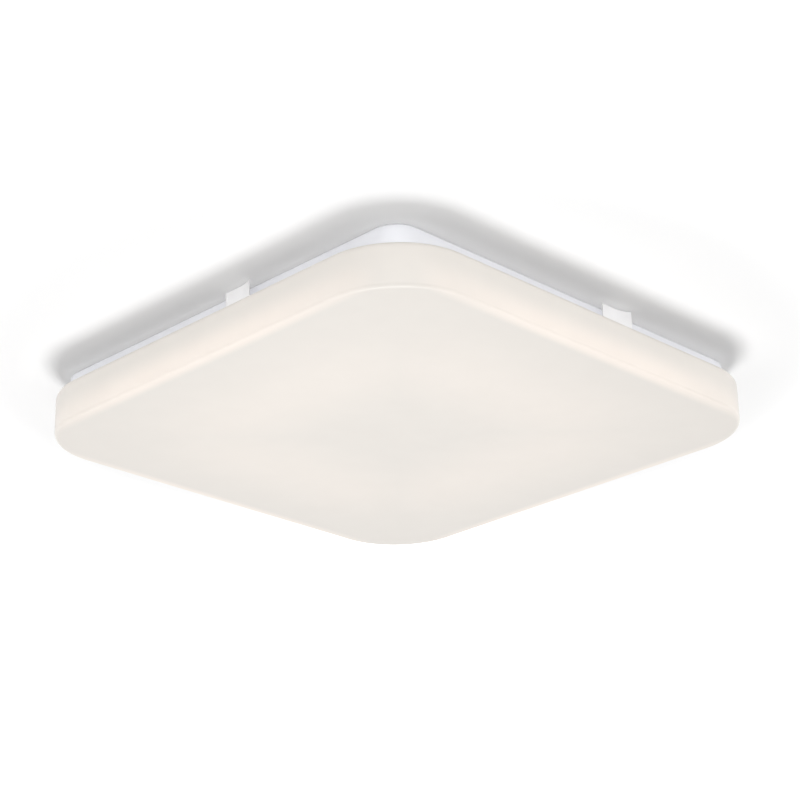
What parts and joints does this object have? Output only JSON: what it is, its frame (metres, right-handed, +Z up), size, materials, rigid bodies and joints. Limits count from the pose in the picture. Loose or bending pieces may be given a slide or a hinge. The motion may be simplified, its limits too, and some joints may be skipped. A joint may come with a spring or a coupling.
{
  "type": "flush ceiling light",
  "caption": "Square flush ceiling light: a shallow steel pan on the ceiling, light bars and driver inside, and an opal hood with round corners held by spring clips.",
  "frame": {"origin": "centre of the four fixing slots, in the plane of the ceiling that the pan's back lies on", "axes": "+Z up into the ceiling, the room below it at negative Z; +X and +Y along the pan's sides, +X towards the terminal block's output side"},
  "size_m": [0.42, 0.42, 0.0534],
  "materials": {
    "pan_paint": "satin white powder coat",
    "clip_paint": "satin white",
    "opal_plastic": "opal, softly glossy",
    "grommet_rubber": "matt",
    "rivet_metal": "satin",
    "bar_aluminium": "white solder mask",
    "emitter_gel": "glossy",
    "connector_plastic": "matt",
    "screw_steel": "zinc plated",
    "driver_plastic": "matt",
    "board_laminate": "matt",
    "ferrite": "matt",
    "capacitor_can": "satin sleeve",
    "terminal_plastic": "matt",
    "spring_steel": "bright",
    "button_plastic": "matt",
    "tinned_metal": "tinned",
    "live_insulation": "satin",
    "neutral_insulation": "satin",
    "earth_insulation": "satin, green and yellow",
    "output_insulation": "satin",
    "jumper_insulation": "satin"
  },
  "bodies": {
    "fixture": {"base_pan": "pan_paint", "cable_grommet": "grommet_rubber", "retaining_clip_1": "clip_paint", "retaining_clip_2": "clip_paint", "retaining_clip_3": "clip_paint", "retaining_clip_4": "clip_paint", "clip_rivets": "rivet_metal", "light_bar_1": "bar_aluminium", "light_bar_2": "bar_aluminium", "light_bar_3": "bar_aluminium", "light_bar_4": "bar_aluminium", "light_emitters": "emitter_gel", "lead_connectors": "connector_plastic", "light_bar_screws": "screw_steel", "driver_base": "driver_plastic", "driver_board": "board_laminate", "driver_transformer": "ferrite", "driver_capacitor": "capacitor_can", "driver_cover": "driver_plastic", "driver_screws": "screw_steel", "terminal_block": "terminal_plastic", "terminal_screw": "screw_steel", "terminal_spring_1": "spring_steel", "terminal_spring_2": "spring_steel", "terminal_spring_3": "spring_steel", "cable_clamp": "driver_plastic", "cable_clamp_screws": "screw_steel", "earth_tag": "tinned_metal", "earth_screw": "screw_steel", "live_lead": "live_insulation", "neutral_lead": "neutral_insulation", "earth_lead": "earth_insulation", "output_leads": "output_insulation", "jumper_leads": "jumper_insulation"},
    "hood": {"diffuser_hood": "opal_plastic"},
    "button_1": {"release_button_1": "button_plastic"},
    "button_2": {"release_button_2": "button_plastic"},
    "button_3": {"release_button_3": "button_plastic"}
  },
  "joints": [
    {"name": "hood_pull", "type": "slide", "parent": "fixture", "child": "hood", "axis": [0, 0, -1], "range_m": [0, 0.1], "deforming": ["retaining_clip_1", "retaining_clip_2", "retaining_clip_3", "retaining_clip_4"]},
    {"name": "button_1_press", "type": "slide", "parent": "fixture", "child": "button_1", "axis": [0, 0, 1], "range_m": [0, 0.0012], "stiffness_N_per_m": 800, "springref_m": -0.002, "deforming": ["terminal_spring_1"]},
    {"name": "button_2_press", "type": "slide", "parent": "fixture", "child": "button_2", "axis": [0, 0, 1], "range_m": [0, 0.0012], "stiffness_N_per_m": 800, "springref_m": -0.002, "deforming": ["terminal_spring_2"]},
    {"name": "button_3_press", "type": "slide", "parent": "fixture", "child": "button_3", "axis": [0, 0, 1], "range_m": [0, 0.0012], "stiffness_N_per_m": 800, "springref_m": -0.002, "deforming": ["terminal_spring_3"]}
  ]
}
